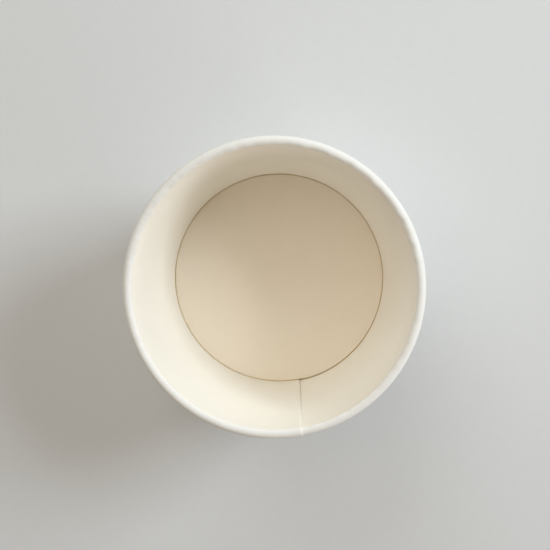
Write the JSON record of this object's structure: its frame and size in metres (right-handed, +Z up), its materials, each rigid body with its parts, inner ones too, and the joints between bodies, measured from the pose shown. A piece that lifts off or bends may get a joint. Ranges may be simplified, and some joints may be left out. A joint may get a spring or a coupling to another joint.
{
  "type": "paper soup container",
  "caption": "Round tapered paper soup container with a rolled rim, a lapped side seam and a recessed base disc held in the folded foot.",
  "frame": {"origin": "centre of the foot, on the surface that the container stands on", "axes": "+Z up along the container's axis to its mouth, -Y to the side seam, +X to the seam's right seen from above with the seam nearest"},
  "size_m": [0.09, 0.0904, 0.058],
  "materials": {
    "wall_board": "white paperboard with a satin coating",
    "base_board": "cream paperboard with a satin coating"
  },
  "bodies": {
    "root": {"side_wall": "wall_board", "base_disc": "base_board"}
  },
  "joints": []
}
